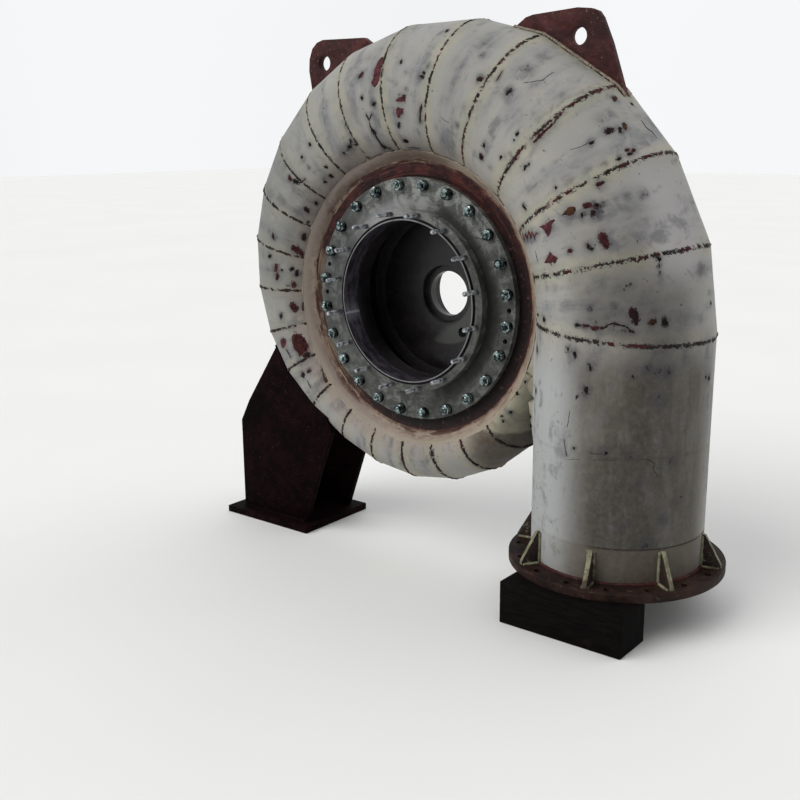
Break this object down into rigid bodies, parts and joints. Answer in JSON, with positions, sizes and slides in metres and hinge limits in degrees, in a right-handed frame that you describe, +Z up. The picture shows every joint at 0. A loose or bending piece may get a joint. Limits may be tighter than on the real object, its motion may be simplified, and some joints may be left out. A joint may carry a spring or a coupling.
{
  "type": "francis turbine spiral casing",
  "caption": "Spiral casing of a horizontal Francis turbine: rolled scroll plates on a stay ring, bolted covers, flanged inlet pipe, lifting lugs and a welded foot.",
  "frame": {"origin": "centre of the bounding box at floor level", "axes": "+Z up, turbine axis along Y with the draft-tube side facing -Y, inlet pipe on the +X side"},
  "size_m": [1.932, 0.728, 1.796],
  "materials": {
    "scroll_plate_01": "sanded filler and primer over steel plate",
    "scroll_plate_02": "sanded filler and primer over steel plate",
    "scroll_plate_03": "sanded filler and primer over steel plate",
    "scroll_plate_04": "sanded filler and primer over steel plate",
    "scroll_plate_05": "sanded filler and primer over steel plate",
    "scroll_plate_06": "sanded filler and primer over steel plate",
    "scroll_plate_07": "sanded filler and primer over steel plate",
    "scroll_plate_08": "sanded filler and primer over steel plate",
    "scroll_plate_09": "sanded filler and primer over steel plate",
    "scroll_plate_10": "sanded filler and primer over steel plate",
    "scroll_plate_11": "sanded filler and primer over steel plate",
    "scroll_plate_12": "sanded filler and primer over steel plate",
    "scroll_plate_13": "sanded filler and primer over steel plate",
    "scroll_plate_14": "sanded filler and primer over steel plate",
    "scroll_plate_15": "sanded filler and primer over steel plate",
    "scroll_plate_16": "sanded filler and primer over steel plate",
    "scroll_plate_17": "sanded filler and primer over steel plate",
    "scroll_plate_18": "sanded filler and primer over steel plate",
    "scroll_plate_19": "sanded filler and primer over steel plate",
    "scroll_plate_20": "sanded filler and primer over steel plate",
    "scroll_plate_21": "sanded filler and primer over steel plate",
    "scroll_nose": "sanded filler and primer over steel plate",
    "inlet_transition": "sanded filler and primer over steel plate",
    "inlet_pipe": "sanded filler and primer over steel plate",
    "inlet_neck": "sanded filler and primer over steel plate",
    "inlet_flange": "red oxide primer",
    "inlet_gusset_1": "sanded filler and primer over steel plate",
    "inlet_gusset_2": "sanded filler and primer over steel plate",
    "inlet_gusset_3": "sanded filler and primer over steel plate",
    "inlet_gusset_4": "sanded filler and primer over steel plate",
    "inlet_gusset_5": "sanded filler and primer over steel plate",
    "inlet_gusset_6": "sanded filler and primer over steel plate",
    "inlet_gusset_7": "sanded filler and primer over steel plate",
    "inlet_gusset_8": "sanded filler and primer over steel plate",
    "stay_ring": "red oxide primer",
    "front_cover": "machined and lightly greyed",
    "back_cover": "machined and lightly greyed",
    "lifting_lug_left": "red oxide primer",
    "lifting_lug_right": "red oxide primer",
    "foot_web_front": "red oxide primer",
    "foot_web_rear": "red oxide primer",
    "foot_side_plate": "red oxide primer",
    "foot_base_plate": "red oxide primer",
    "packing_block_front": "dark stained timber",
    "packing_block_rear": "dark stained timber"
  },
  "bodies": {
    "root": {"scroll_plate_01": "scroll_plate_01", "scroll_plate_02": "scroll_plate_02", "scroll_plate_03": "scroll_plate_03", "scroll_plate_04": "scroll_plate_04", "scroll_plate_05": "scroll_plate_05", "scroll_plate_06": "scroll_plate_06", "scroll_plate_07": "scroll_plate_07", "scroll_plate_08": "scroll_plate_08", "scroll_plate_09": "scroll_plate_09", "scroll_plate_10": "scroll_plate_10", "scroll_plate_11": "scroll_plate_11", "scroll_plate_12": "scroll_plate_12", "scroll_plate_13": "scroll_plate_13", "scroll_plate_14": "scroll_plate_14", "scroll_plate_15": "scroll_plate_15", "scroll_plate_16": "scroll_plate_16", "scroll_plate_17": "scroll_plate_17", "scroll_plate_18": "scroll_plate_18", "scroll_plate_19": "scroll_plate_19", "scroll_plate_20": "scroll_plate_20", "scroll_plate_21": "scroll_plate_21", "scroll_nose": "scroll_nose", "inlet_transition": "inlet_transition", "inlet_pipe": "inlet_pipe", "inlet_neck": "inlet_neck", "inlet_flange": "inlet_flange", "inlet_gusset_1": "inlet_gusset_1", "inlet_gusset_2": "inlet_gusset_2", "inlet_gusset_3": "inlet_gusset_3", "inlet_gusset_4": "inlet_gusset_4", "inlet_gusset_5": "inlet_gusset_5", "inlet_gusset_6": "inlet_gusset_6", "inlet_gusset_7": "inlet_gusset_7", "inlet_gusset_8": "inlet_gusset_8", "stay_ring": "stay_ring", "front_cover": "front_cover", "back_cover": "back_cover", "lifting_lug_left": "lifting_lug_left", "lifting_lug_right": "lifting_lug_right", "foot_web_front": "foot_web_front", "foot_web_rear": "foot_web_rear", "foot_side_plate": "foot_side_plate", "foot_base_plate": "foot_base_plate", "packing_block_front": "packing_block_front", "packing_block_rear": "packing_block_rear"}
  },
  "joints": []
}
